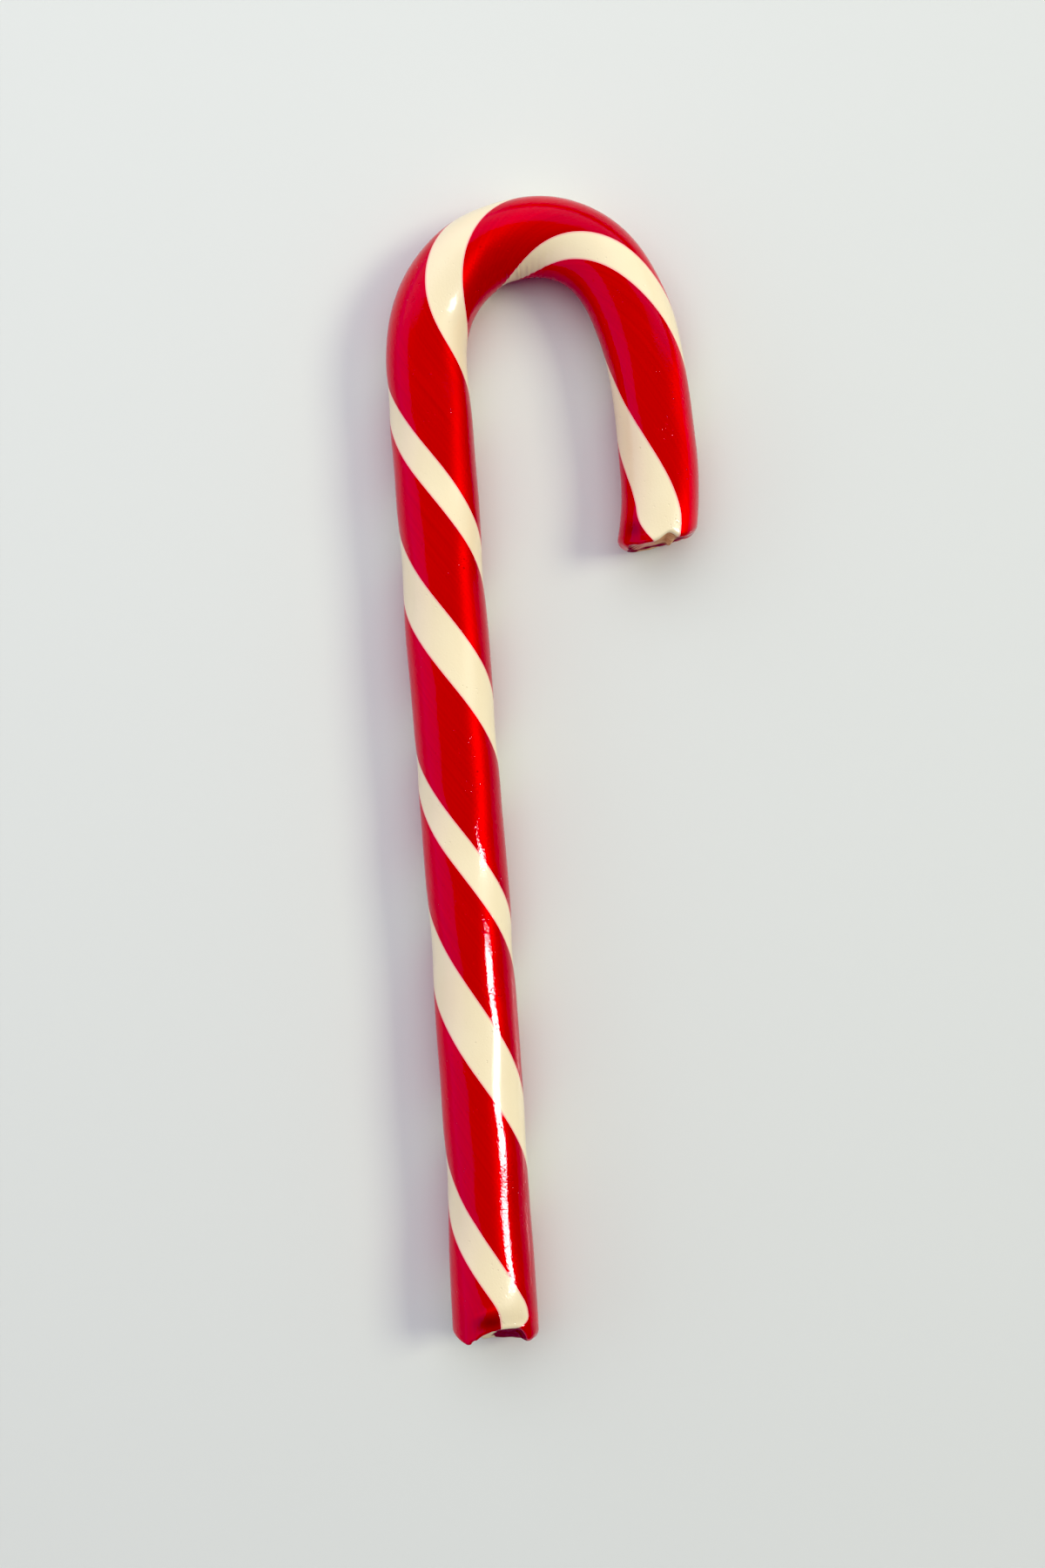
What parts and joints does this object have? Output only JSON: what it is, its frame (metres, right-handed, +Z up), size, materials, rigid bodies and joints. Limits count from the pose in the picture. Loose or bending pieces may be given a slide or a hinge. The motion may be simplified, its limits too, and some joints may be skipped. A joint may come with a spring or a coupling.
{
  "type": "candy cane",
  "caption": "Hand-pulled red candy cane with two cream stripes twisting round it, bent into a crook, lying flat.",
  "frame": {"origin": "middle of the whole cane's box, on the surface that it lies on", "axes": "+Y along the shaft from the cut foot towards the crook; +X towards the side that the crook turns; +Z up, out of the side that shows"},
  "size_m": [0.049, 0.1792, 0.0132],
  "materials": {
    "red_sugar": null,
    "cream_sugar": null
  },
  "bodies": {
    "root": {"red_body": "red_sugar", "wide_cream_stripe": "cream_sugar", "narrow_cream_stripe": "cream_sugar"}
  },
  "joints": []
}
